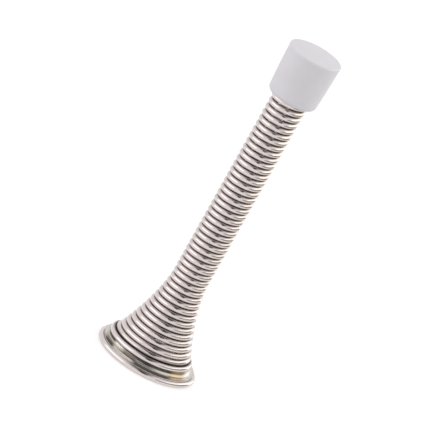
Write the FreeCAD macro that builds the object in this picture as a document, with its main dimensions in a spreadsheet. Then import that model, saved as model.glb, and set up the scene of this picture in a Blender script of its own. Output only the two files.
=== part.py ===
import FreeCAD, Part
import math
import os
from types import SimpleNamespace

import Sketcher

# Spring door stop: one flared wire spring, closed by a rubber tip and gripping a pressed base plate.
# The mounting plane is z = 0, the axis is +Z, and the wire starts on the +Y side.

# Driving dimensions in millimetres, apart from the power, the share and the angle in degrees
SIZES = {
    "overall_length": (80, "mounting plane to the end of the tip"),
    "wire_diameter": (1.36, "spring wire"),
    "coil_gap": (0.04, "between the first neighbouring turns of the close-wound wire"),
    "gap_growth": (0.0025, "widening of that gap with each turn towards the tip"),
    "barrel_diameter": (8.58, "outside of the straight coils"),
    "end_coil_diameter": (23.5, "outside of the flat end coil that carries the plate"),
    "flare_mouth_diameter": (21.1, "outside of the flare, carried on down to the end coil"),
    "flare_top": (21.5, "height where the flare runs into the straight coils"),
    "flare_power": (1.62, "how sharply the flare opens"),
    "shoulder_height": (2.6, "height over which the end coil stands out past the flare"),
    "crossing_climb": (2.56, "way up the profile from the end coil to the coil above the plate"),
    "plate_thickness": (0.6, "sheet of the base plate"),
    "plate_clearance": (0.05, "between the plate's rim and the end coil under it"),
    "plate_rim_inset": (0.25, "rim of the plate inside the centre line of the end coil"),
    "plate_wall_gap": (0.5, "dished wall of the plate to the inside of the end coil"),
    "boss_diameter": (15, "flat of the plate that lies on the wall"),
    "bend_radius": (0.6, "bends of the plate"),
    "sheet_edge_radius": (0.08, "worn edges of the plate's hole and rim"),
    "screw_hole_diameter": (4.5, "hole for the fixing screw"),
    "notch_margin": (8, "degrees of notch before and after the crossing wire"),
    "notch_reach": (1.1, "notch inside the end coil"),
    "tip_length": (11.9, "mouth of the tip to its end"),
    "tip_wall": (1.34, "rubber around the spring at the tip's mouth"),
    "tip_growth": (0.5, "widening of the tip's side from its mouth to its shoulder, on the radius"),
    "tip_crown": (0.35, "slight crown of the tip's end"),
    "tip_mouth_share": (0.8, "rounding of the mouth's outer edge, as a share of the wall"),
    "tip_front_radius": (0.5, "rounding between the side and the end"),
    "tip_bore_depth": (7, "socket for the end of the spring"),
    "tip_clearance": (0.05, "between the tip's socket and the spring"),
}

FULL_TURN = 360
WIRE_START_ANGLE = 90
STATIONS_PER_TURN = 8
FLAT_STATIONS = 7
SHOULDER_POWER = 4
CLIMB_STEPS = 16
SAME_PLACE = 1e-4


def add_sizes(doc):
    """Spreadsheet of the driving dimensions, one alias to a row."""
    sheet = doc.addObject("Spreadsheet::Sheet", "Sizes")
    for row, (name, (value, note)) in enumerate(SIZES.items(), start=1):
        sheet.set(f"A{row}", name)
        sheet.set(f"B{row}", str(value))
        sheet.set(f"C{row}", note)
        sheet.setAlias(f"B{row}", name)
    doc.recompute()
    return sheet


def read_sizes(sheet):
    """The sheet's values, with the places on the spring that follow from them."""
    size = SimpleNamespace(**{name: float(sheet.get(name)) for name in SIZES})
    size.pitch = size.wire_diameter + size.coil_gap
    size.barrel_radius = (size.barrel_diameter - size.wire_diameter) / 2
    size.end_radius = (size.end_coil_diameter - size.wire_diameter) / 2
    size.mouth_radius = (size.flare_mouth_diameter - size.wire_diameter) / 2
    size.first_coil = size.wire_diameter / 2
    tip_mouth = size.overall_length - size.tip_length
    size.wire_top = tip_mouth + size.tip_bore_depth - size.tip_clearance - size.wire_diameter / 2
    return size


def flare(size, height):
    """Radius of the wire's centre line at a height, and how fast it changes with height."""
    if height >= size.flare_top:
        return size.barrel_radius, 0.0
    rise = size.flare_top - size.first_coil
    share = (size.flare_top - height) / rise
    opening = size.mouth_radius - size.barrel_radius
    risen = (height - size.first_coil) / size.shoulder_height
    shoulder = (size.end_radius - size.mouth_radius) * math.exp(-(risen**SHOULDER_POWER))
    radius = size.barrel_radius + opening * share**size.flare_power + shoulder
    slope = -opening * size.flare_power * share ** (size.flare_power - 1) / rise
    slope -= shoulder * SHOULDER_POWER * risen ** (SHOULDER_POWER - 1) / size.shoulder_height
    return radius, slope


def climb(size, height, distance):
    """Height reached by going a distance along the profile of the flare."""
    part = distance / CLIMB_STEPS
    for _ in range(CLIMB_STEPS):
        middle = height + part / 2 / math.hypot(1, flare(size, height)[1])
        height += part / math.hypot(1, flare(size, middle)[1])
    return height


def station(count, radius, height, out_rate=0.0, up_rate=0.0):
    """Point and heading of the wire, from its radius and height and their change per turn."""
    angle = math.radians(WIRE_START_ANGLE) + 2 * math.pi * count / STATIONS_PER_TURN
    out = FreeCAD.Vector(math.cos(angle), math.sin(angle), 0)
    along = FreeCAD.Vector(-math.sin(angle), math.cos(angle), 0)
    up = FreeCAD.Vector(0, 0, 1)
    heading = out * out_rate + along * (2 * math.pi * radius) + up * up_rate
    return out * radius + up * height, heading.normalize()


def wire_stations(size):
    """Stations along the wire: a flat end coil, a crossing past the plate's rim, then a pitch to the turn."""
    stations = [station(i, size.end_radius, size.first_coil) for i in range(FLAT_STATIONS + 1)]
    crossed = FLAT_STATIONS + 1
    height = size.first_coil
    gone = 0.0
    count = FLAT_STATIONS
    while True:
        count += 1
        turned = (count - crossed) / STATIONS_PER_TURN
        target = size.crossing_climb + (size.pitch + size.gap_growth / 2 * turned) * turned
        height = climb(size, height, target - gone)
        gone = target
        if height > size.wire_top:
            return stations
        radius, slope = flare(size, height)
        up_rate = (size.pitch + size.gap_growth * turned) / math.hypot(1, slope)
        stations.append(station(count, radius, height, slope * up_rate, up_rate))


def arc(start, heading, end):
    """Arc that leaves a point along a heading and ends at another point."""
    chord = end - start
    along = FreeCAD.Vector(chord).normalize()
    lean = heading.getAngle(along)
    side = (heading - along * heading.dot(along)).normalize()
    crown = start + chord * 0.5 + side * (chord.Length / 2 * math.tan(lean / 2))
    return Part.Arc(start, crown, end).toShape()


def tangent_arcs(first, second):
    """Two arcs, tangent to each other, that join two stations along both headings."""
    (start, leave), (end, arrive) = first, second
    span = end - start
    square = 2 * (1 - leave.dot(arrive))
    linear = 2 * span.dot(leave + arrive)
    reach = (math.sqrt(linear**2 + 4 * square * span.dot(span)) - linear) / (2 * square)
    meet = (start + leave * reach + end - arrive * reach) * 0.5
    return [arc(start, leave, meet), arc(end, arrive * -1, meet)]


def make_spring(doc, size):
    """Round wire swept along the coils."""
    stations = wire_stations(size)
    edges = [edge for pair in zip(stations, stations[1:]) for edge in tangent_arcs(*pair)]
    path = doc.addObject("Part::Feature", "wire_path")
    path.Shape = Part.Wire(edges)
    section = doc.addObject("Part::Circle", "wire_section")
    section.setExpression("Radius", "Sizes.wire_diameter / 2")
    start, heading = stations[0]
    section.Placement = FreeCAD.Placement(start, FreeCAD.Rotation(FreeCAD.Vector(0, 0, 1), heading))
    spring = doc.addObject("Part::Sweep", "spring")
    spring.Sections = [section]
    spring.Spine = (path, [])
    spring.Solid = True
    doc.recompute()
    return spring


def origin_plane(body, role):
    """One of a body's own origin planes."""
    return next(item for item in body.Origin.OriginFeatures if item.Role == role)


def add_sketch(body, name, role):
    """Empty sketch on one of a body's origin planes."""
    sketch = body.newObject("Sketcher::SketchObject", name)
    sketch.AttachmentSupport = [(origin_plane(body, role), "")]
    sketch.MapMode = "FlatFace"
    return sketch


def bind(sketch, kind, places, expression):
    """Dimension of a sketch that follows an expression on the sheet."""
    value = sketch.evalExpression(expression)
    index = sketch.addConstraint(Sketcher.Constraint(kind, *places, float(value)))
    sketch.setExpression(f"Constraints[{index}]", expression)


def pin_corner(sketch, line, corner):
    """Hold the start of a line at its two expressions, or on an axis where one of them is 0."""
    for kind, axis, expression in (("DistanceX", -2, corner[0]), ("DistanceY", -1, corner[1])):
        if expression == "0":
            sketch.addConstraint(Sketcher.Constraint("PointOnObject", line, 1, axis))
        else:
            bind(sketch, kind, (-1, 1, line, 1), expression)


def draw_outline(sketch, corners):
    """Closed outline of straight lines through corners that follow expressions on the sheet."""
    points = [FreeCAD.Vector(*(float(sketch.evalExpression(e)) for e in corner), 0) for corner in corners]
    count = len(points)
    for i in range(count):
        sketch.addGeometry(Part.LineSegment(points[i], points[(i + 1) % count]), False)
    for i in range(count):
        sketch.addConstraint(Sketcher.Constraint("Coincident", i, 2, (i + 1) % count, 1))
    for i, corner in enumerate(corners):
        pin_corner(sketch, i, corner)


def revolve(body, sketch):
    """Full turn of a sketch about its upright axis."""
    turned = body.newObject("PartDesign::Revolution", f"{sketch.Name}_turned")
    turned.Profile = sketch
    turned.ReferenceAxis = (sketch, ["V_Axis"])
    turned.Angle = FULL_TURN
    body.Document.recompute()
    return turned


def round_edges(body, base, rings, expression):
    """Fillet on the circular edges of a feature that have one of the given radii and heights."""
    wanted = [tuple(float(base.evalExpression(e)) for e in ring) for ring in rings]
    names = []
    for i, edge in enumerate(base.Shape.Edges, start=1):
        if edge.Degenerated or not isinstance(edge.Curve, Part.Circle):
            continue
        ring = (edge.Curve.Radius, edge.Curve.Center.z)
        if any(math.dist(ring, want) < SAME_PLACE for want in wanted):
            names.append(f"Edge{i}")
    rounded = body.newObject("PartDesign::Fillet", f"{base.Name}_rounded")
    rounded.Base = (base, names)
    rounded.setExpression("Radius", expression)
    body.Document.recompute()
    return rounded


def make_base_plate(doc):
    """Pressed round plate: a flat that lies on the wall and a raised rim held above the end coil."""
    body = doc.addObject("PartDesign::Body", "base_plate")
    hole = "Sizes.screw_hole_diameter / 2"
    boss = "Sizes.boss_diameter / 2"
    inside = "(Sizes.end_coil_diameter / 2 - Sizes.wire_diameter)"
    wall = f"{inside} - Sizes.plate_wall_gap"
    rim = "(Sizes.end_coil_diameter - Sizes.wire_diameter) / 2 - Sizes.plate_rim_inset"
    sheet = "Sizes.plate_thickness"
    seat = "Sizes.wire_diameter + Sizes.plate_clearance"
    rim_top = f"{seat} + {sheet}"
    section = add_sketch(body, "plate_section", "XZ_Plane")
    draw_outline(section, [
        (hole, "0"), (boss, "0"), (wall, seat), (rim, seat),
        (rim, rim_top), (wall, rim_top), (boss, sheet), (hole, sheet),
    ])
    pressed = revolve(body, section)
    bends = [(boss, "0"), (wall, seat), (wall, rim_top), (boss, sheet)]
    bent = round_edges(body, pressed, bends, "Sizes.bend_radius")
    edges = [(hole, "0"), (hole, sheet), (rim, seat), (rim, rim_top)]
    round_edges(body, bent, edges, "Sizes.sheet_edge_radius")
    cut_notch(body, f"{inside} - Sizes.notch_reach", f"{rim} + {sheet}")
    return body


def cut_notch(body, inner, outer):
    """Notch in the rim where the wire crosses from the end coil to the coil above the plate."""
    span = FULL_TURN / STATIONS_PER_TURN
    sketch = add_sketch(body, "notch", "XY_Plane")
    margin = float(sketch.evalExpression("Sizes.notch_margin"))
    ends = (WIRE_START_ANGLE - span, WIRE_START_ANGLE)
    angles = [math.radians(ends[0] - margin), math.radians(ends[1] + margin)]
    near, far = (float(sketch.evalExpression(e)) for e in (inner, outer))
    up = FreeCAD.Vector(0, 0, 1)
    centre = FreeCAD.Vector(0, 0, 0)
    for radius in (near, far):
        sketch.addGeometry(Part.ArcOfCircle(Part.Circle(centre, up, radius), *angles), False)
    for angle in angles:
        ray = FreeCAD.Vector(math.cos(angle), math.sin(angle), 0)
        sketch.addGeometry(Part.LineSegment(ray * near, ray * far), False)
    for arc_index, expression in ((0, inner), (1, outer)):
        sketch.addConstraint(Sketcher.Constraint("Coincident", arc_index, 3, -1, 1))
        bind(sketch, "Radius", (arc_index,), expression)
    for line, arc_end in ((2, 1), (3, 2)):
        sketch.addConstraint(Sketcher.Constraint("Coincident", line, 1, 0, arc_end))
        sketch.addConstraint(Sketcher.Constraint("Coincident", line, 2, 1, arc_end))
        sketch.addConstraint(Sketcher.Constraint("PointOnObject", -1, 1, line))
    bind(sketch, "Angle", (-1, 1, 2, 1), f"{ends[0]} - Sizes.notch_margin")
    bind(sketch, "Angle", (-1, 1, 3, 1), f"{ends[1]} + Sizes.notch_margin")
    notch = body.newObject("PartDesign::Pocket", "wire_notch")
    notch.Profile = sketch
    notch.Type = "ThroughAll"
    notch.Midplane = True
    body.Document.recompute()


def make_bumper_tip(doc):
    """Moulded rubber tip: tapered side, slightly crowned end and a socket for the spring."""
    body = doc.addObject("PartDesign::Body", "bumper_tip")
    bore = "Sizes.barrel_diameter / 2 + Sizes.tip_clearance"
    mouth = "Sizes.overall_length - Sizes.tip_length"
    bore_end = f"{mouth} + Sizes.tip_bore_depth"
    back = f"{bore} + Sizes.tip_wall"
    front = f"{back} + Sizes.tip_growth"
    shoulder = "Sizes.overall_length - Sizes.tip_crown"
    end = "Sizes.overall_length"
    section = add_sketch(body, "tip_section", "XZ_Plane")
    draw_crowned_outline(section, [
        (front, shoulder), (back, mouth), (bore, mouth), (bore, bore_end), ("0", bore_end), ("0", end),
    ])
    moulded = revolve(body, section)
    rounded = round_edges(body, moulded, [(back, mouth)], "Sizes.tip_wall * Sizes.tip_mouth_share")
    round_edges(body, rounded, [(front, shoulder)], "Sizes.tip_front_radius")
    return body


def draw_crowned_outline(sketch, corners):
    """Outline of straight lines from the first corner to the last, closed by an arc centred on the axis."""
    points = [FreeCAD.Vector(*(float(sketch.evalExpression(e)) for e in corner), 0) for corner in corners]
    lines = len(points) - 1
    for i in range(lines):
        sketch.addGeometry(Part.LineSegment(points[i], points[i + 1]), False)
    shoulder, end = points[0], points[-1]
    crown = end.y - shoulder.y
    radius = (shoulder.x**2 + crown**2) / (2 * crown)
    centre = FreeCAD.Vector(0, end.y - radius, 0)
    circle = Part.Circle(centre, FreeCAD.Vector(0, 0, 1), radius)
    low = math.atan2(shoulder.y - centre.y, shoulder.x)
    sketch.addGeometry(Part.ArcOfCircle(circle, low, math.pi / 2), False)
    for i in range(lines - 1):
        sketch.addConstraint(Sketcher.Constraint("Coincident", i, 2, i + 1, 1))
    sketch.addConstraint(Sketcher.Constraint("Coincident", lines, 1, 0, 1))
    sketch.addConstraint(Sketcher.Constraint("Coincident", lines, 2, lines - 1, 2))
    sketch.addConstraint(Sketcher.Constraint("PointOnObject", lines, 3, -2))
    for i, corner in enumerate(corners[:-1]):
        pin_corner(sketch, i, corner)
    sketch.addConstraint(Sketcher.Constraint("PointOnObject", lines, 2, -2))
    bind(sketch, "DistanceY", (-1, 1, lines, 2), corners[-1][1])


def check(doc, parts):
    """Stop where an object failed or a sub-part has no sound shape."""
    failed = [item.Name for item in doc.Objects if {"Invalid", "Error"} & set(item.State)]
    if failed:
        raise RuntimeError(f"objects that failed: {failed}")
    for part in parts:
        if part.Shape.isNull() or not part.Shape.isValid() or len(part.Shape.Solids) != 1:
            raise RuntimeError(f"{part.Label} is not one sound solid")


def main():
    doc = FreeCAD.newDocument("spring_door_stop")
    size = read_sizes(add_sizes(doc))
    parts = [make_spring(doc, size), make_base_plate(doc), make_bumper_tip(doc)]
    doc.recompute()
    check(doc, parts)
    os.makedirs("parts", exist_ok=True)
    for part in parts:
        part.Shape.exportStep(f"parts/{part.Label}.step")
        print(part.Label, round(part.Shape.Volume, 2), part.Shape.BoundBox)


main()
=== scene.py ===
"""Looks of the spring door stop: plated wire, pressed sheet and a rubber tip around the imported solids.

Lengths are metres in the part's own frame: the mounting plane is z = 0, the axis is +Z, and the wire starts
on the +Y side.
"""

import logging
import math
from dataclasses import dataclass
from enum import Enum

import bmesh
import bpy
import numpy as np
from mathutils import Matrix, Vector


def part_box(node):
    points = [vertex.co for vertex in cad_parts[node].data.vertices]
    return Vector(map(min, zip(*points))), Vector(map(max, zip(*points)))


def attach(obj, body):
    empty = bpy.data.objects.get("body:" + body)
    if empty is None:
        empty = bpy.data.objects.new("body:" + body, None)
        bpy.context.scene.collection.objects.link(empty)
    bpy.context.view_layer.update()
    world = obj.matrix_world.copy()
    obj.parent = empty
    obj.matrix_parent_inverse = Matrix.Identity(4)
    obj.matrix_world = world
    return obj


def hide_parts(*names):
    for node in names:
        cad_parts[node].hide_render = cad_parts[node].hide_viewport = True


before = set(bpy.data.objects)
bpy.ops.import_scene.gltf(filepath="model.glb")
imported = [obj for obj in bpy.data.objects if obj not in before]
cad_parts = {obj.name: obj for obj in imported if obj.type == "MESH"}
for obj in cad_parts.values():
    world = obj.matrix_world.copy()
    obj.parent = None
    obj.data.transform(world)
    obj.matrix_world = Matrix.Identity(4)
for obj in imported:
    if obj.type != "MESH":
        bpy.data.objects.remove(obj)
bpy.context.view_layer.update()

log = logging.getLogger("door_stop")

MM = 0.001
SAME_PLACE = 1e-8
SHARP_ANGLE = 40.0
ROOT = "root"
Colour = tuple[float, float, float]
Sockets = dict[str, bpy.types.NodeSocket]


class Ray(Enum):
    """Kinds of ray that see the white surroundings."""

    CAMERA = "Is Camera Ray"
    GLOSSY = "Is Glossy Ray"
    TRANSMISSION = "Is Transmission Ray"


class NodeSheet:
    """A node tree with short calls for adding nodes and joining sockets."""

    def __init__(self, tree: bpy.types.NodeTree) -> None:
        """Take a node tree and empty it.

        Args:
            tree: The tree of a material, a world or a group.
        """
        self.tree = tree
        tree.nodes.clear()

    def add(self, kind: str, **settings: object) -> bpy.types.Node:
        """Add a node.

        Args:
            kind: Type name of the node without its ShaderNode prefix, or a full type name.
            **settings: Properties of the node, such as an operation.

        Returns:
            The new node.
        """
        full = kind if kind.startswith("NodeGroup") else f"ShaderNode{kind}"
        node = self.tree.nodes.new(full)
        for name, value in settings.items():
            setattr(node, name, value)
        return node

    def put(self, node: bpy.types.Node, **values: object) -> None:
        """Set sockets of a node by name, with spaces written as underscores.

        Args:
            node: The node whose inputs are set.
            **values: A number, colour or vector, or an output socket to join.
        """
        for name, value in values.items():
            key = name.replace("_", " ")
            socket = next(s for s in node.inputs if s.name == key and s.enabled)
            if isinstance(value, bpy.types.NodeSocket):
                self.tree.links.new(value, socket)
            elif socket.type == "RGBA":
                socket.default_value = (*value, 1.0)
            else:
                socket.default_value = value

    def math(self, operation: str, first: object, second: object = 0.0) -> bpy.types.NodeSocket:
        """Add a Math node on two numbers or sockets.

        Args:
            operation: Name of the operation.
            first: First number or socket.
            second: Second number or socket.

        Returns:
            The result's socket.
        """
        node = self.add("Math", operation=operation)
        for socket, value in zip(node.inputs, (first, second)):
            if isinstance(value, bpy.types.NodeSocket):
                self.tree.links.new(value, socket)
            else:
                socket.default_value = value
        return node.outputs[0]

    def stretch(self, value: bpy.types.NodeSocket, low: float, high: float) -> bpy.types.NodeSocket:
        """Map a mask from 0 to 1 onto another range.

        Args:
            value: The mask.
            low: Result where the mask is 0.
            high: Result where the mask is 1.

        Returns:
            The mapped value's socket.
        """
        node = self.add("MapRange")
        self.put(node, Value=value, To_Min=low, To_Max=high)
        return node.outputs["Result"]

    def step(self, value: bpy.types.NodeSocket, low: float, high: float) -> bpy.types.NodeSocket:
        """Add a mask that goes smoothly from 0 at one value to 1 at another.

        Args:
            value: The value.
            low: Where the mask is 0.
            high: Where the mask is 1.

        Returns:
            The mask's socket.
        """
        node = self.add("MapRange", interpolation_type="SMOOTHSTEP")
        self.put(node, Value=value, From_Min=low, From_Max=high)
        return node.outputs["Result"]

    def blend(self, mask: object, first: object, second: object) -> bpy.types.NodeSocket:
        """Mix two colours.

        Args:
            mask: Share of the second colour, a number or a socket.
            first: First colour or socket.
            second: Second colour or socket.

        Returns:
            The mixed colour's socket.
        """
        node = self.add("Mix", data_type="RGBA")
        self.put(node, Factor=mask, A=first, B=second)
        return next(s for s in node.outputs if s.enabled)

    def effect(self, tree: bpy.types.NodeTree, **values: object) -> bpy.types.Node:
        """Place a shared effect.

        Args:
            tree: The effect's node group.
            **values: Its inputs.

        Returns:
            The group node.
        """
        node = self.add("Group", node_tree=tree)
        self.put(node, **values)
        return node


class Effects:
    """Node groups that more than one finish uses, each built once."""

    DRIFT_SPAN = (0.32, 0.68)
    RUB_SPAN = (0.54, 0.78)

    def __init__(self) -> None:
        """Build the groups."""
        self.tone_drift = self._tone_drift()
        self.drawn_lines = self._drawn_lines()
        self.fine_grain = self._fine_grain()
        self.handling = self._handling()

    @staticmethod
    def _group(
        name: str, inputs: dict[str, str], outputs: dict[str, str]
    ) -> tuple[NodeSheet, Sockets, Sockets]:
        """Start a group.

        Args:
            name: Name of the group.
            inputs: Socket types of its inputs by name.
            outputs: Socket types of its outputs by name.

        Returns:
            The group's sheet, its input sockets by name and its output sockets by name.
        """
        tree = bpy.data.node_groups.new(name, "ShaderNodeTree")
        for label, kind in inputs.items():
            tree.interface.new_socket(label, in_out="INPUT", socket_type=f"NodeSocket{kind}")
        for label, kind in outputs.items():
            tree.interface.new_socket(label, in_out="OUTPUT", socket_type=f"NodeSocket{kind}")
        sheet = NodeSheet(tree)
        entry = sheet.add("NodeGroupInput")
        leave = sheet.add("NodeGroupOutput")
        given = {socket.name: socket for socket in entry.outputs if socket.name}
        made = {socket.name: socket for socket in leave.inputs if socket.name}
        return sheet, given, made

    def _tone_drift(self) -> bpy.types.NodeTree:
        """Slow, cloudy change between two tones of a finish.

        Returns:
            The group.
        """
        sheet, given, made = self._group(
            "tone_drift",
            {"Vector": "Vector", "Scale": "Float", "Tone A": "Color", "Tone B": "Color"},
            {"Color": "Color", "Mask": "Float"},
        )
        cloud = sheet.add("TexNoise")
        sheet.put(cloud, Vector=given["Vector"], Scale=given["Scale"], Detail=3.0, Roughness=0.55)
        mask = sheet.step(cloud.outputs["Fac"], *self.DRIFT_SPAN)
        sheet.tree.links.new(sheet.blend(mask, given["Tone A"], given["Tone B"]), made["Color"])
        sheet.tree.links.new(mask, made["Mask"])
        return sheet.tree

    def _drawn_lines(self) -> bpy.types.NodeTree:
        """Fine lines that run along a drawn wire or a rolled sheet, as a height.

        Returns:
            The group.
        """
        sheet, given, made = self._group(
            "drawn_lines",
            {"Vector": "Vector", "Along": "Float", "Across": "Float"},
            {"Height": "Float"},
        )
        spacing = sheet.add("CombineXYZ")
        sheet.put(spacing, X=given["Along"], Y=given["Across"], Z=given["Across"])
        scaled = sheet.add("VectorMath", operation="MULTIPLY")
        for socket, source in zip(scaled.inputs, (given["Vector"], spacing.outputs[0])):
            sheet.tree.links.new(source, socket)
        lines = sheet.add("TexNoise")
        sheet.put(lines, Vector=scaled.outputs[0], Scale=1.0, Detail=2.0, Roughness=0.65)
        sheet.tree.links.new(lines.outputs["Fac"], made["Height"])
        return sheet.tree

    def _fine_grain(self) -> bpy.types.NodeTree:
        """Fine pebbled grain of a moulding or a sheet of paper, as a height.

        Returns:
            The group.
        """
        sheet, given, made = self._group(
            "fine_grain",
            {"Vector": "Vector", "Scale": "Float"},
            {"Height": "Float"},
        )
        cells = sheet.add("TexVoronoi", feature="SMOOTH_F1")
        sheet.put(cells, Vector=given["Vector"], Scale=given["Scale"], Smoothness=0.6)
        cloud = sheet.add("TexNoise")
        sheet.put(cloud, Vector=given["Vector"], Scale=given["Scale"], Detail=2.0)
        height = sheet.math("ADD", cells.outputs["Distance"], cloud.outputs["Fac"])
        sheet.tree.links.new(height, made["Height"])
        return sheet.tree

    def _handling(self) -> bpy.types.NodeTree:
        """Sparse, faint rubbed patches where the surface has been touched, as a mask.

        Returns:
            The group.
        """
        sheet, given, made = self._group(
            "handling",
            {"Vector": "Vector", "Scale": "Float", "Amount": "Float"},
            {"Mask": "Float"},
        )
        patches = sheet.add("TexNoise")
        sheet.put(patches, Vector=given["Vector"], Scale=given["Scale"], Detail=5.0, Roughness=0.7)
        sparse = sheet.step(patches.outputs["Fac"], *self.RUB_SPAN)
        sheet.tree.links.new(sheet.math("MULTIPLY", sparse, given["Amount"]), made["Mask"])
        return sheet.tree


def new_material(name: str) -> tuple[bpy.types.Material, NodeSheet, bpy.types.Node]:
    """Start a material with one principled shader.

    Args:
        name: Name of the material.

    Returns:
        The material, its sheet and its shader node.
    """
    material = bpy.data.materials.new(name)
    material.use_nodes = True
    sheet = NodeSheet(material.node_tree)
    shader = sheet.add("BsdfPrincipled")
    output = sheet.add("OutputMaterial")
    sheet.put(output, Surface=shader.outputs["BSDF"])
    return material, sheet, shader


def bump(
    sheet: NodeSheet, height: bpy.types.NodeSocket, strength: float, depth: float
) -> bpy.types.NodeSocket:
    """Turn a height into a normal.

    Args:
        sheet: The material's sheet.
        height: The height's socket.
        strength: How much of the bump shows.
        depth: Depth in metres of a height of 1.

    Returns:
        The normal's socket.
    """
    node = sheet.add("Bump")
    sheet.put(node, Height=height, Strength=strength, Distance=depth)
    return node.outputs["Normal"]


@dataclass(frozen=True)
class NickelFinish:
    """Satin nickel plating on drawn wire, duller in the grooves, with painted shade in the grooves and a
    painted olive reflection in those on the +X side.
    """

    tone: Colour = (0.685, 0.617, 0.608)
    warm_tone: Colour = (0.652, 0.589, 0.574)
    groove_shade_tone: Colour = (0.10, 0.083, 0.074)
    olive_reflection_tone: Colour = (0.26, 0.20, 0.10)
    olive_from: float = 0.25
    olive_to: float = 0.65
    groove_shade_share: float = 0.35
    olive_reflection_share: float = 0.56
    line_level: float = 1.02
    groove_power: float = 3.0
    drift_scale: float = 160.0
    rub_scale: float = 420.0
    lines_along: float = 180.0
    lines_across: float = 9000.0
    polish: float = 0.13
    dull: float = 0.24
    rub_dull: float = 0.10
    groove_dull: float = 0.12
    line_share: float = 0.35
    line_depth: float = 0.004 * MM

    def build(self, effects: Effects) -> bpy.types.Material:
        """Make the material.

        Args:
            effects: The shared effects.

        Returns:
            The material of the wire.
        """
        material, sheet, shader = new_material("satin_nickel")
        lay = sheet.add("Attribute", attribute_name=WireSpring.LAY).outputs["Vector"]
        groove = sheet.add("Attribute", attribute_name=WireSpring.GROOVE).outputs["Fac"]
        drift = sheet.effect(
            effects.tone_drift, Vector=lay, Scale=self.drift_scale, Tone_A=self.tone, Tone_B=self.warm_tone
        )
        rubbed = sheet.effect(effects.handling, Vector=lay, Scale=self.rub_scale, Amount=1.0)
        lines = sheet.effect(
            effects.drawn_lines, Vector=lay, Along=self.lines_along, Across=self.lines_across
        )
        deep = sheet.math("POWER", groove, self.groove_power)
        # The painted shade line above the lowest coils stays dark all the way round
        plain = sheet.math("LESS_THAN", groove, self.line_level)
        # On the +X side the grooves take a painted olive reflection in place of the dark painted shade
        olive = sheet.math("MULTIPLY", self._right_side(sheet), plain)
        painted_light_tone = sheet.blend(olive, self.groove_shade_tone, self.olive_reflection_tone)
        share = sheet.stretch(olive, self.groove_shade_share, self.olive_reflection_share)
        colour = sheet.blend(sheet.math("MULTIPLY", deep, share), drift.outputs["Color"], painted_light_tone)
        rough = sheet.stretch(lines.outputs["Height"], self.polish, self.dull)
        rough = sheet.math("ADD", rough, sheet.math("MULTIPLY", rubbed.outputs["Mask"], self.rub_dull))
        rough = sheet.math("ADD", rough, sheet.math("MULTIPLY", deep, self.groove_dull))
        sheet.put(
            shader,
            Base_Color=colour,
            Metallic=1.0,
            Roughness=rough,
            Normal=bump(sheet, lines.outputs["Height"], self.line_share, self.line_depth),
        )
        return material

    def _right_side(self, sheet: NodeSheet) -> bpy.types.NodeSocket:
        """Mask of the side of the coils towards +X.

        Args:
            sheet: The material's sheet.

        Returns:
            The mask's socket.
        """
        flat = sheet.add("VectorMath", operation="MULTIPLY")
        sheet.tree.links.new(sheet.add("TexCoord").outputs["Object"], flat.inputs[0])
        flat.inputs[1].default_value = (1.0, 1.0, 0.0)
        outward = sheet.add("VectorMath", operation="NORMALIZE")
        sheet.tree.links.new(flat.outputs["Vector"], outward.inputs[0])
        split = sheet.add("SeparateXYZ")
        sheet.put(split, Vector=outward.outputs["Vector"])
        return sheet.step(split.outputs["X"], self.olive_from, self.olive_to)


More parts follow.
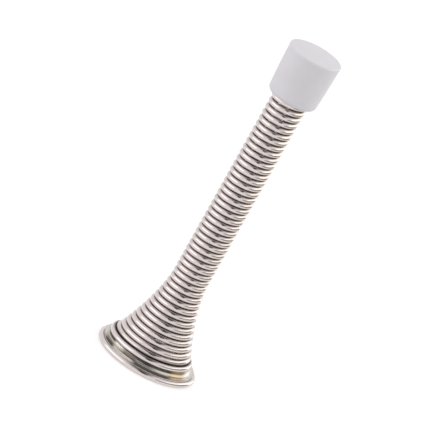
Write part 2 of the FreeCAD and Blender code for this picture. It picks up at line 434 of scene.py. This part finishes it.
@dataclass(frozen=True)
class ZincFinish:
    """Yellow zinc plating on pressed sheet: gold towards the wall and, as a painted warm reflection, on the
    +X side; pale with toned stretches above, and painted shade on the rim's edge and under the coil on the
    lip.
    """

    pale: Colour = (0.70, 0.66, 0.615)
    cloud: Colour = (0.62, 0.585, 0.54)
    gold: Colour = (0.56, 0.44, 0.30)
    brown: Colour = (0.50, 0.445, 0.39)
    smoke: Colour = (0.23, 0.198, 0.168)
    painted_light_tone: Colour = (0.045, 0.037, 0.03)
    dish_from: float = 0.2 * MM
    dish_to: float = 0.45 * MM
    gold_reflection_span: tuple[float, float] = (6.6 * MM, 8.7 * MM)
    brown_span: tuple[float, float] = (-9.4 * MM, -8.0 * MM)
    smoke_span: tuple[float, float] = (-4.4 * MM, -2.4 * MM)
    span_fade: float = 1.0 * MM
    gap_shade_span: tuple[float, float] = (-1.2 * MM, 5.8 * MM)
    dark_span_fade: float = 1.8 * MM
    crest_from: float = 0.33
    crest_to: float = 0.67
    rim_edge: float = 10.6 * MM
    gap_shade_fade: float = 0.15 * MM
    gap_shade_share: float = 0.95
    gap_shade_rest: float = 0.2
    drift_scale: float = 190.0
    patch_scale: float = 260.0
    patch_share: float = 0.5
    lines_along: float = 120.0
    lines_across: float = 7000.0
    metal: float = 0.72
    polish: float = 0.16
    dull: float = 0.30
    patch_dull: float = 0.12
    line_share: float = 0.4
    line_depth: float = 0.004 * MM

    def build(self, effects: Effects) -> bpy.types.Material:
        """Make the material.

        Args:
            effects: The shared effects.

        Returns:
            The material of the base plate.
        """
        material, sheet, shader = new_material("yellow_zinc")
        place = sheet.add("TexCoord").outputs["Object"]
        drift = sheet.effect(
            effects.tone_drift, Vector=place, Scale=self.drift_scale, Tone_A=self.pale, Tone_B=self.cloud
        )
        patches = sheet.effect(
            effects.handling, Vector=place, Scale=self.patch_scale, Amount=self.patch_share
        )
        lines = sheet.effect(
            effects.drawn_lines, Vector=place, Along=self.lines_along, Across=self.lines_across
        )
        along = sheet.add("SeparateXYZ")
        sheet.put(along, Vector=place)
        across = along.outputs["X"]
        dish = sheet.step(along.outputs["Z"], self.dish_to, self.dish_from)
        # Gold towards the wall is the plating's own colour; the +X stretch adds a painted warm reflection
        # to it
        gold = sheet.math("MAXIMUM", dish, self._span(sheet, across, self.gold_reflection_span, self.span_fade))
        gold = sheet.math("MAXIMUM", sheet.math("SUBTRACT", gold, patches.outputs["Mask"]), 0.0)
        squares = (sheet.math("POWER", along.outputs[axis], 2.0) for axis in "XY")
        reach = sheet.math("SQRT", sheet.math("ADD", *squares))
        rim = sheet.step(reach, self.rim_edge, self.rim_edge + self.gap_shade_fade)
        brown = self._span(sheet, across, self.brown_span, self.span_fade)
        smoke = self._span(sheet, across, self.smoke_span, self.dark_span_fade)
        smoke = sheet.math("MULTIPLY", smoke, sheet.math("SUBTRACT", 1.0, rim))
        colour = sheet.blend(brown, drift.outputs["Color"], self.brown)
        colour = sheet.blend(smoke, colour, self.smoke)
        colour = sheet.blend(gold, colour, self.gold)
        # Painted shade sits on the rim's edge and under the coil that lies on the lip, darkest from the
        # middle towards +X
        crest = sheet.add("Attribute", attribute_name=BasePlate.CREST).outputs["Fac"]
        under = sheet.math("MAXIMUM", rim, sheet.step(crest, self.crest_from, self.crest_to))
        shaded = self._span(sheet, across, self.gap_shade_span, self.dark_span_fade)
        shaded = sheet.stretch(sheet.math("MAXIMUM", shaded, brown), self.gap_shade_rest, self.gap_shade_share)
        colour = sheet.blend(sheet.math("MULTIPLY", under, shaded), colour, self.painted_light_tone)
        rough = sheet.stretch(lines.outputs["Height"], self.polish, self.dull)
        rough = sheet.math("ADD", rough, sheet.math("MULTIPLY", patches.outputs["Mask"], self.patch_dull))
        sheet.put(
            shader,
            Base_Color=colour,
            Metallic=self.metal,
            Roughness=rough,
            Normal=bump(sheet, lines.outputs["Height"], self.line_share, self.line_depth),
        )
        return material

    @staticmethod
    def _span(
        sheet: NodeSheet, value: bpy.types.NodeSocket, span: tuple[float, float], fade: float
    ) -> bpy.types.NodeSocket:
        """Mask of a stretch with soft ends.

        Args:
            sheet: The material's sheet.
            value: The coordinate.
            span: First and last place of the stretch.
            fade: Length of each soft end outside the stretch.

        Returns:
            The mask's socket.
        """
        begin = sheet.step(value, span[0] - fade, span[0])
        cease = sheet.step(value, span[1] + fade, span[1])
        return sheet.math("MULTIPLY", begin, cease)


@dataclass(frozen=True)
class RubberFinish:
    """Matte white rubber with a faint cool cast and a fine moulded grain."""

    tone: Colour = (0.80, 0.773, 0.817)
    cloud_tone: Colour = (0.775, 0.75, 0.79)
    rubbed_tone: Colour = (0.72, 0.70, 0.728)
    matte: float = 0.62
    sheen: float = 0.46
    drift_scale: float = 240.0
    rub_scale: float = 520.0
    rub_share: float = 0.35
    grain_scale: float = 6500.0
    grain_share: float = 0.5
    grain_depth: float = 0.012 * MM
    glow: float = 0.12
    glow_tint: Colour = (0.9, 0.85, 0.9)
    glow_depth: float = 0.8 * MM

    def build(self, effects: Effects) -> bpy.types.Material:
        """Make the material.

        Args:
            effects: The shared effects.

        Returns:
            The material of the tip.
        """
        material, sheet, shader = new_material("white_rubber")
        place = sheet.add("TexCoord").outputs["Object"]
        drift = sheet.effect(
            effects.tone_drift,
            Vector=place,
            Scale=self.drift_scale,
            Tone_A=self.tone,
            Tone_B=self.cloud_tone,
        )
        rubbed = sheet.effect(effects.handling, Vector=place, Scale=self.rub_scale, Amount=self.rub_share)
        grain = sheet.effect(effects.fine_grain, Vector=place, Scale=self.grain_scale)
        colour = sheet.blend(rubbed.outputs["Mask"], drift.outputs["Color"], self.rubbed_tone)
        rough = sheet.stretch(drift.outputs["Mask"], self.matte, self.sheen)
        sheet.put(
            shader,
            Base_Color=colour,
            Roughness=rough,
            Normal=bump(sheet, grain.outputs["Height"], self.grain_share, self.grain_depth),
            Subsurface_Weight=self.glow,
            Subsurface_Radius=self.glow_tint,
            Subsurface_Scale=self.glow_depth,
        )
        return material


@dataclass(frozen=True)
class PaperFinish:
    """White backdrop paper that the camera and the metal see as white and that keeps the part's shadow."""

    tone: Colour = (0.62, 0.62, 0.62)
    cloud_tone: Colour = (0.605, 0.605, 0.61)
    lift: float = 0.52
    drift_scale: float = 9.0
    matte: float = 0.9
    grain_scale: float = 900.0
    grain_share: float = 0.2
    grain_depth: float = 0.02 * MM

    def build(self, effects: Effects) -> bpy.types.Material:
        """Make the material.

        Args:
            effects: The shared effects.

        Returns:
            The material of the floor.
        """
        material, sheet, shader = new_material("backdrop_paper")
        place = sheet.add("TexCoord").outputs["Object"]
        drift = sheet.effect(
            effects.tone_drift,
            Vector=place,
            Scale=self.drift_scale,
            Tone_A=self.tone,
            Tone_B=self.cloud_tone,
        )
        grain = sheet.effect(effects.fine_grain, Vector=place, Scale=self.grain_scale)
        sheet.put(
            shader,
            Base_Color=drift.outputs["Color"],
            Roughness=self.matte,
            Normal=bump(sheet, grain.outputs["Height"], self.grain_share, self.grain_depth),
            Emission_Color=(1.0, 1.0, 1.0),
            Emission_Strength=sheet.math("MULTIPLY", sees_white(sheet), self.lift),
        )
        return material


def sees_white(sheet: NodeSheet) -> bpy.types.NodeSocket:
    """Mask of the rays that see the white surroundings.

    Args:
        sheet: Sheet of a material or of the world.

    Returns:
        A socket that is 1 for the kinds of ray in Ray and 0 for the rest.
    """
    path = sheet.add("LightPath")
    mask = path.outputs[Ray.CAMERA.value]
    for ray in (Ray.GLOSSY, Ray.TRANSMISSION):
        mask = sheet.math("MAXIMUM", mask, path.outputs[ray.value])
    return mask


@dataclass
class WireSpring:
    """The flared spring of one wire: a flat end coil, a crossing past the plate, a flare and a barrel."""

    wire_diameter: float = 1.36 * MM
    coil_gap: float = 0.04 * MM
    gap_growth: float = 0.0025 * MM
    barrel_diameter: float = 8.58 * MM
    mouth_diameter: float = 21.1 * MM
    flare_top: float = 21.5 * MM
    flare_power: float = 1.62
    shoulder_height: float = 2.6 * MM
    shoulder_power: int = 4
    crossing_climb: float = 2.56 * MM
    crossing_turns: float = 1 / 8
    cut_edge: float = 0.1 * MM
    end_coil_groove: float = 0.5
    line_gain: float = 1.6
    line_power: float = 0.4
    start_angle: float = 90.0
    rings_per_turn: int = 72
    sides: int = 24

    NODE = "spring"
    LAY = "wire_lay"
    GROOVE = "wire_groove"

    def __post_init__(self) -> None:
        """Work out the radii and heights of the wire's centre line from the sizes and the solid's box."""
        low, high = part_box(self.NODE)
        self.wire_radius = self.wire_diameter / 2
        self.pitch = self.wire_diameter + self.coil_gap
        self.end_radius = (high.x - low.x - self.wire_diameter) / 2
        self.barrel_radius = (self.barrel_diameter - self.wire_diameter) / 2
        self.mouth_radius = (self.mouth_diameter - self.wire_diameter) / 2
        self.first_coil = low.z + self.wire_radius
        self.top = high.z - self.wire_radius

    def flare(self, height: float) -> tuple[float, float]:
        """Profile of the flare.

        Args:
            height: Height on the axis.

        Returns:
            Radius of the wire's centre line there, and its change with height.
        """
        if height >= self.flare_top:
            return self.barrel_radius, 0.0
        rise = self.flare_top - self.first_coil
        share = (self.flare_top - height) / rise
        opening = self.mouth_radius - self.barrel_radius
        risen = (height - self.first_coil) / self.shoulder_height
        shoulder = (self.end_radius - self.mouth_radius) * math.exp(-(risen**self.shoulder_power))
        radius = self.barrel_radius + opening * share**self.flare_power + shoulder
        slope = -opening * self.flare_power * share ** (self.flare_power - 1) / rise
        slope -= shoulder * self.shoulder_power * risen ** (self.shoulder_power - 1) / self.shoulder_height
        return radius, slope

    def climbed(self, turn: float) -> float:
        """Distance that the wire has gone up the flare's profile.

        Args:
            turn: Turns from the wire's base end.

        Returns:
            The distance: none on the end coil, a quick climb past the rim, then about a pitch a turn.
        """
        share = min(max((turn - 1) / self.crossing_turns + 1, 0.0), 1.0)
        crossed = self.crossing_climb * eased(share)
        crossed += self.pitch * self.crossing_turns * share * share * (share - 1)
        turned = max(turn - 1, 0.0)
        return crossed + (self.pitch + self.gap_growth / 2 * turned) * turned

    def route(self) -> np.ndarray:
        """Centre line of the wire.

        Returns:
            One row for each ring: turns from the base end, radius, height, and the flare's slope there.
        """
        rows = []
        turn, height, gone = 0.0, self.first_coil, 0.0
        while height < self.top:
            radius, slope = self.flare(height)
            rows.append((turn, radius, height, slope))
            turn += 1 / self.rings_per_turn
            ahead = self.climbed(turn)
            middle = height + (ahead - gone) / 2 / math.hypot(1, slope)
            height += (ahead - gone) / math.hypot(1, self.flare(middle)[1])
            gone = ahead
        # One more ring just inside each cut end, where its worn edge stops
        line = np.array(rows)
        first, last = (self.cut_edge * self.rings_per_turn / (2 * math.pi * line[i, 1]) for i in (0, -1))
        inside = line[0] + (line[1] - line[0]) * first, line[-1] + (line[-2] - line[-1]) * last
        return np.vstack((line[:1], inside[:1], line[1:-1], inside[1:], line[-1:]))

    def build(self) -> bpy.types.Object:
        """Sweep the wire's round section along its centre line.

        Returns:
            The wire as one mesh, with its straightened lay and its groove mask as attributes.
        """
        turn, radius, height, slope = self.route().T
        angle = math.radians(self.start_angle) + 2 * math.pi * turn
        out = np.stack((np.cos(angle), np.sin(angle), np.zeros_like(angle)), axis=1)
        centre = out * radius[:, None]
        centre[:, 2] = height
        run = np.concatenate(([0.0], np.cumsum(np.linalg.norm(np.diff(centre, axis=0), axis=1))))
        heading = np.gradient(centre, run, axis=0)
        heading /= np.linalg.norm(heading, axis=1)[:, None]
        side = out - heading * np.sum(out * heading, axis=1)[:, None]
        side /= np.linalg.norm(side, axis=1)[:, None]
        rise = np.cross(heading, side)
        rise *= np.sign(rise[:, 2:])
        # The cut ends are drawn in by the width of their worn edge
        thick = np.full(len(run), self.wire_radius)
        thick[[0, -1]] -= self.cut_edge
        section = np.linspace(0, 2 * math.pi, self.sides, endpoint=False)
        across, up = np.cos(section), np.sin(section)
        points = centre[:, None] + thick[:, None, None] * (
            side[:, None] * across[None, :, None] + rise[:, None] * up[None, :, None]
        )
        lay = np.empty((*points.shape[:2], 3))
        lay[..., 0] = run[:, None]
        lay[..., 1] = thick[:, None] * across
        lay[..., 2] = thick[:, None] * up
        # Along the flare's profile lie the neighbouring turns, so a face that looks that way is in a groove
        lean = np.hypot(1, slope)
        groove = across[None] * (slope / lean)[:, None] + up[None] / lean[:, None]
        # No turn lies under the end coil, and the painted shade is darkest where the wire first lies on
        # itself
        lowest = (turn > 1) & (turn < 2)
        second = (turn > 2) & (turn < 3)
        shaded = (lowest[:, None] & (groove > 0)) | (second[:, None] & (groove < 0))
        groove = np.where(turn[:, None] < 2, np.maximum(groove, 0.0), np.abs(groove))
        groove *= np.where(turn < 1, self.end_coil_groove, 1.0)[:, None]
        groove = np.where(shaded, self.line_gain * groove**self.line_power, groove)
        piece = skin("wire_spring", points)
        store(piece.data, self.LAY, "FLOAT_VECTOR", "vector", lay)
        store(piece.data, self.GROOVE, "FLOAT", "value", groove)
        return piece

    def dress(self, piece: bpy.types.Object, finish: bpy.types.Material) -> None:
        """Give the wire its finish and let it stand for the solid.

        Args:
            piece: The wire.
            finish: Its material.
        """
        dress_piece(piece, finish)
        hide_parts(self.NODE)


@dataclass
class BumperTip:
    """The moulded rubber tip: a tapered side, a fine lip, a crowned end and a socket for the spring."""

    bore_radius: float = 4.34 * MM
    wall: float = 1.34 * MM
    growth: float = 0.5 * MM
    belly: float = 0.06 * MM
    lip: float = 0.08 * MM
    lip_height: float = 1.0 * MM
    crown: float = 0.32 * MM
    bore_depth: float = 7.0 * MM
    mouth_round: float = 1.07 * MM
    front_round: float = 0.4 * MM
    socket_round: float = 0.15 * MM
    side_start: float = 1.1
    side_steps: int = 10
    columns: int = 160

    NODE = "bumper_tip"
    CROWN_STEPS = (0.0, 0.3, 0.6, 0.8)

    def section(self) -> np.ndarray:
        """Section of the tip from the middle of its end to the middle of its socket.

        Returns:
            Radius and height of each point.
        """
        low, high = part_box(self.NODE)
        back = self.bore_radius + self.wall
        front = back + self.growth
        shoulder = high.z - self.crown
        corners = [(share * front, high.z - self.crown * share**2, 0.0) for share in self.CROWN_STEPS]
        corners.append((front + self.lip, shoulder, self.front_round))
        bottom, top = low.z + self.side_start * self.mouth_round, shoulder - self.lip_height
        for share in np.linspace(1, 0, self.side_steps):
            height = bottom + (top - bottom) * share
            cone = back + self.growth * (height - low.z) / (shoulder - low.z)
            corners.append((cone + self.belly * math.sin(math.pi * share), height, 0.0))
        corners.append((back, low.z, self.mouth_round))
        corners.append((self.bore_radius, low.z, self.socket_round))
        corners.append((self.bore_radius, low.z + self.bore_depth, self.socket_round))
        corners.append((0.0, low.z + self.bore_depth, 0.0))
        return rounded(corners)

    def build(self) -> bpy.types.Object:
        """Turn the section about the axis.

        Returns:
            The tip as one closed mesh.
        """
        radius, height = self.section().T
        angle = np.linspace(0, 2 * math.pi, self.columns, endpoint=False)
        points = np.empty((self.columns, len(radius), 3))
        points[..., 0] = np.cos(angle)[:, None] * radius
        points[..., 1] = np.sin(angle)[:, None] * radius
        points[..., 2] = height
        return skin("rubber_tip", points, turned=True)

    def dress(self, piece: bpy.types.Object, finish: bpy.types.Material) -> None:
        """Give the tip its finish and let it stand for the solid.

        Args:
            piece: The tip.
            finish: Its material.
        """
        dress_piece(piece, finish)
        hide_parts(self.NODE)


@dataclass
class BasePlate:
    """The pressed plate inside the flare, shown by the solid, and the lip that seats the coil above it."""

    lip_from: float = 1.04
    lip_to: float = 1.83
    lip_foot: float = 10.1 * MM
    lip_rest: float = 50.0
    lip_hollow: float = 0.08
    lip_sheet: float = 0.12 * MM
    lip_run_out: float = 0.07
    lip_end: float = 0.1
    clearance: float = 0.05 * MM
    foot_gap: float = 0.005 * MM
    columns: int = 260
    rows: int = 7

    NODE = "base_plate"
    CREST = "lip_climb"

    def build_lip(self, spring: WireSpring) -> bpy.types.Object:
        """Sweep the lip round the rim, from the plate's flat up to the underside of the second coil.

        Args:
            spring: The spring that lies on it.

        Returns:
            The lip as one closed mesh.
        """
        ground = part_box(self.NODE)[1].z + self.foot_gap
        turn, radius, height, _ = spring.route().T
        turns = np.linspace(self.lip_from, self.lip_to, self.columns)
        reach = spring.wire_radius + self.clearance
        rest = math.radians(self.lip_rest)
        out = np.interp(turns, turn, radius) + reach * math.cos(rest)
        up = np.interp(turns, turn, height) - reach * math.sin(rest)
        crest = np.stack((out, up), axis=1)
        foot = np.tile((self.lip_foot, ground), (self.columns, 1))
        share = np.linspace(0, 1, self.rows)[None, :, None]
        # The lip sinks to the plate where it ends at the notch
        left = np.clip((self.lip_to - turns) / self.lip_run_out, 0.0, 1.0)
        rise = (crest - foot) * (self.lip_end + (1 - self.lip_end) * eased(left))[:, None]
        inward = np.stack((-rise[:, 1], rise[:, 0]), axis=1)
        hollow = inward[:, None] * self.lip_hollow * np.sin(math.pi * share)
        outer = foot[:, None] + rise[:, None] * share + hollow
        inner = outer + (inward / np.linalg.norm(inward, axis=1)[:, None])[:, None] * self.lip_sheet
        inner[..., 1] = np.maximum(inner[..., 1], ground)
        section = np.concatenate((outer, inner[:, ::-1]), axis=1)
        angle = math.radians(spring.start_angle) + 2 * math.pi * turns
        points = np.empty((*section.shape[:2], 3))
        points[..., 0] = np.cos(angle)[:, None] * section[..., 0]
        points[..., 1] = np.sin(angle)[:, None] * section[..., 0]
        points[..., 2] = section[..., 1]
        lip = skin("plate_lip", points)
        climb = share.ravel()
        store(lip.data, self.CREST, "FLOAT", "value", np.tile((*climb, *climb[::-1]), (self.columns, 1)))
        return lip

    def dress(self, lip: bpy.types.Object, finish: bpy.types.Material) -> bpy.types.Object:
        """Give the solid and its lip their finish.

        Args:
            lip: The lip.
            finish: Their material.

        Returns:
            The plate's object.
        """
        dress_piece(lip, finish)
        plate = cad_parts[self.NODE]
        for slot in plate.material_slots:
            slot.material = finish
        return plate


def eased(share: float | np.ndarray) -> float | np.ndarray:
    """Smooth rise from 0 to 1 for a share that goes from 0 to 1.

    Args:
        share: The share, one or many.

    Returns:
        The risen share.
    """
    return share * share * (3 - 2 * share)


def rounded(corners: list[tuple[float, float, float]], steps: int = 8) -> np.ndarray:
    """Line through corners that are rounded to their own radius.

    Args:
        corners: Two coordinates and a radius of rounding for each corner.
        steps: Pieces of each rounding.

    Returns:
        The two coordinates of each point of the line.
    """
    places = np.array(corners)[:, :2]
    line = []
    for i, (*_, radius) in enumerate(corners):
        here = places[i]
        if radius == 0:
            line.append(here)
            continue
        before, after = ((places[j] - here) / np.linalg.norm(places[j] - here) for j in (i - 1, i + 1))
        half = math.acos(before @ after) / 2
        middle = (before + after) / np.linalg.norm(before + after)
        centre = here + middle * radius / math.sin(half)
        first, last = (here + way * radius / math.tan(half) - centre for way in (before, after))
        begin = math.atan2(first[1], first[0])
        sweep = (math.atan2(last[1], last[0]) - begin + math.pi) % (2 * math.pi) - math.pi
        for step in range(steps + 1):
            angle = begin + sweep * step / steps
            line.append(centre + radius * np.array((math.cos(angle), math.sin(angle))))
    return np.array(line)


def skin(name: str, points: np.ndarray, turned: bool = False) -> bpy.types.Object:
    """Skin sections that follow each other.

    Args:
        name: Name of the piece.
        points: Section by section, the points of each one.
        turned: Whether the sections are open and go once round an axis, instead of closed ones in a row.

    Returns:
        The new object, a closed mesh.
    """
    rings, sides = points.shape[:2]
    index = np.arange(rings * sides).reshape(rings, sides)
    if turned:
        index = np.vstack((index, index[:1]))
        near, far = index[:, :-1], index[:, 1:]
    else:
        near, far = index, np.roll(index, -1, axis=1)
    faces = np.stack((near[:-1], far[:-1], far[1:], near[1:]), axis=-1).reshape(-1, 4).tolist()
    if not turned:
        faces += [index[0][::-1].tolist(), index[-1].tolist()]
    mesh = bpy.data.meshes.new(name)
    mesh.from_pydata(points.reshape(-1, 3).tolist(), [], faces)
    shape = bmesh.new()
    shape.from_mesh(mesh)
    if turned:
        bmesh.ops.remove_doubles(shape, verts=shape.verts, dist=SAME_PLACE)
    bmesh.ops.recalc_face_normals(shape, faces=shape.faces)
    shape.to_mesh(mesh)
    shape.free()
    mesh.shade_smooth()
    mesh.set_sharp_from_angle(angle=math.radians(SHARP_ANGLE))
    piece = bpy.data.objects.new(name, mesh)
    bpy.context.scene.collection.objects.link(piece)
    return piece


def store(mesh: bpy.types.Mesh, name: str, kind: str, field: str, values: np.ndarray) -> None:
    """Store a value for each point of a mesh.

    Args:
        mesh: The mesh.
        name: Name of the attribute.
        kind: Its data type.
        field: Name of the value in it.
        values: The values, point by point.
    """
    layer = mesh.attributes.new(name, kind, "POINT")
    layer.data.foreach_set(field, values.astype(np.float32).ravel())


def dress_piece(piece: bpy.types.Object, finish: bpy.types.Material) -> None:
    """Give a piece its finish and let it ride on the part.

    Args:
        piece: The piece.
        finish: Its material.
    """
    piece.data.materials.append(finish)
    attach(piece, ROOT)


def facing(aim: Vector, turn: float, lift: float, distance: float) -> Matrix:
    """Place away from a point, turned to face it.

    Args:
        aim: The point.
        turn: Degrees to the right of the camera's side.
        lift: Degrees above the level.
        distance: Distance from the point.

    Returns:
        The place as a matrix.
    """
    turn, lift = math.radians(turn), math.radians(lift)
    way = Vector((math.sin(turn) * math.cos(lift), -math.cos(turn) * math.cos(lift), math.sin(lift)))
    return Matrix.Translation(aim + way * distance) @ way.to_track_quat("Z", "Y").to_matrix().to_4x4()


@dataclass(frozen=True)
class Card:
    """A plain card that only the metal's reflections show."""

    name: str
    turn: float
    lift: float
    distance: float
    width: float
    height: float
    tone: Colour
    shade: float = 0.85
    drift_scale: float = 6.0
    matte: float = 0.9

    def stand(self, aim: Vector, effects: Effects) -> bpy.types.Object:
        """Stand the card square to a point of the part.

        Args:
            aim: The point that the card faces.
            effects: The shared effects.

        Returns:
            The card.
        """
        material, sheet, shader = new_material(self.name)
        place = sheet.add("TexCoord").outputs["Object"]
        darker = tuple(self.shade * part for part in self.tone)
        drift = sheet.effect(
            effects.tone_drift, Vector=place, Scale=self.drift_scale, Tone_A=self.tone, Tone_B=darker
        )
        sheet.put(shader, Base_Color=drift.outputs["Color"], Roughness=self.matte)
        half, tall = self.width / 2, self.height / 2
        mesh = bpy.data.meshes.new(self.name)
        corners = [(-half, -tall, 0), (half, -tall, 0), (half, tall, 0), (-half, tall, 0)]
        mesh.from_pydata(corners, [], [(0, 1, 2, 3)])
        mesh.materials.append(material)
        card = bpy.data.objects.new(self.name, mesh)
        card.matrix_world = facing(aim, self.turn, self.lift, self.distance)
        bpy.context.scene.collection.objects.link(card)
        card.visible_camera = False
        card.visible_diffuse = False
        card.visible_shadow = False
        card.visible_transmission = False
        return card


@dataclass(frozen=True)
class Lamp:
    """A soft lamp beside the part."""

    name: str
    turn: float
    lift: float
    distance: float
    width: float
    height: float
    power: float
    tint: Colour

    def hang(self, aim: Vector) -> bpy.types.Object:
        """Hang the lamp so that it faces a point of the part.

        Args:
            aim: The point.

        Returns:
            The lamp.
        """
        light = bpy.data.lights.new(self.name, "AREA")
        light.shape = "RECTANGLE"
        light.size = self.width
        light.size_y = self.height
        light.energy = self.power
        light.color = self.tint
        lamp = bpy.data.objects.new(self.name, light)
        lamp.matrix_world = facing(aim, self.turn, self.lift, self.distance)
        lamp.visible_camera = False
        bpy.context.scene.collection.objects.link(lamp)
        return lamp


@dataclass
class Studio:
    """Floor, surroundings, soft lamps, cards and camera."""

    floor_radius: float = 3.0
    floor_sides: int = 64
    floor_gap: float = 0.02 * MM
    ambient: float = 0.765
    lamps: tuple[Lamp, ...] = (
        Lamp("key_lamp", -68.0, 12.0, 0.56, 0.66, 0.42, 0.76, (1.0, 0.965, 0.96)),
        Lamp("fill_lamp", 112.0, 12.0, 0.56, 1.10, 0.74, 2.05, (0.985, 1.0, 0.955)),
    )
    cards: tuple[Card, ...] = (
        Card("card_over", 13.0, 80.0, 0.5, 0.32, 0.44, (0.07, 0.065, 0.065)),
        Card("card_front", 12.0, 52.0, 0.6, 0.20, 0.82, (0.02, 0.018, 0.018)),
        Card("card_right", 84.0, -20.0, 0.09, 0.18, 0.11, (0.44, 0.43, 0.36)),
    )
    camera_distance: float = 2000.0 * MM
    camera_lift: float = 18.8
    camera_roll: float = 29.29
    camera_near: float = 10.0 * MM
    image_width: float = 440.0
    focal_pixels: float = 9248.0
    sensor_width: float = 36.0
    aim: Vector = Vector((-1.3 * MM, 0.0, 37.5 * MM))

    def lay_floor(self, paper: bpy.types.Material) -> bpy.types.Object:
        """Lay a round sheet of backdrop paper just under the part.

        Args:
            paper: Its material.

        Returns:
            The floor.
        """
        angles = [2 * math.pi * i / self.floor_sides for i in range(self.floor_sides)]
        radius, level = self.floor_radius, -self.floor_gap
        edge = [(radius * math.cos(angle), radius * math.sin(angle), level) for angle in angles]
        mesh = bpy.data.meshes.new("floor")
        mesh.from_pydata(edge, [], [list(range(self.floor_sides))])
        mesh.materials.append(paper)
        floor = bpy.data.objects.new("floor", mesh)
        bpy.context.scene.collection.objects.link(floor)
        return floor

    def surround(self) -> None:
        """Fill the world with even light, white where the camera and the metal see it."""
        world = bpy.data.worlds.new("surroundings")
        world.use_nodes = True
        sheet = NodeSheet(world.node_tree)
        sky = sheet.add("Background")
        output = sheet.add("OutputWorld")
        sheet.put(sky, Color=(1.0, 1.0, 1.0), Strength=sheet.stretch(sees_white(sheet), self.ambient, 1.0))
        sheet.put(output, Surface=sky.outputs["Background"])
        bpy.context.scene.world = world

    def set_camera(self) -> bpy.types.Object:
        """Set the camera at the photograph's viewing angle.

        Returns:
            The camera.
        """
        lens = bpy.data.cameras.new("camera")
        lens.sensor_width = self.sensor_width
        lens.lens = self.sensor_width * self.focal_pixels / self.image_width
        lens.clip_start = self.camera_near
        lift = math.radians(self.camera_lift)
        back = Vector((0.0, -math.cos(lift), math.sin(lift)))
        camera = bpy.data.objects.new("camera", lens)
        look = (-back).to_track_quat("-Z", "Y").to_matrix().to_4x4()
        roll = Matrix.Rotation(math.radians(self.camera_roll), 4, "Z")
        camera.matrix_world = Matrix.Translation(self.aim + back * self.camera_distance) @ look @ roll
        bpy.context.scene.collection.objects.link(camera)
        bpy.context.scene.camera = camera
        bpy.context.scene.view_settings.view_transform = "Standard"
        return camera


def main() -> None:
    """Build the studio and the pieces, dress them and report each one."""
    logging.basicConfig(level=logging.INFO, format="%(message)s")
    effects = Effects()

    studio = Studio()
    studio.set_camera()
    studio.surround()
    studio.lay_floor(PaperFinish().build(effects))
    for lamp in studio.lamps:
        lamp.hang(studio.aim)
    for card in studio.cards:
        card.stand(studio.aim, effects)

    spring = WireSpring()
    wire = spring.build()
    spring.dress(wire, NickelFinish().build(effects))
    log.info("%s: %d faces", wire.name, len(wire.data.polygons))

    base = BasePlate()
    lip = base.build_lip(spring)
    plate = base.dress(lip, ZincFinish().build(effects))
    log.info("%s and %s: %d faces", plate.name, lip.name, len(lip.data.polygons))

    bumper = BumperTip()
    tip = bumper.build()
    bumper.dress(tip, RubberFinish().build(effects))
    log.info("%s: %d faces", tip.name, len(tip.data.polygons))


if __name__ == "__main__":
    main()
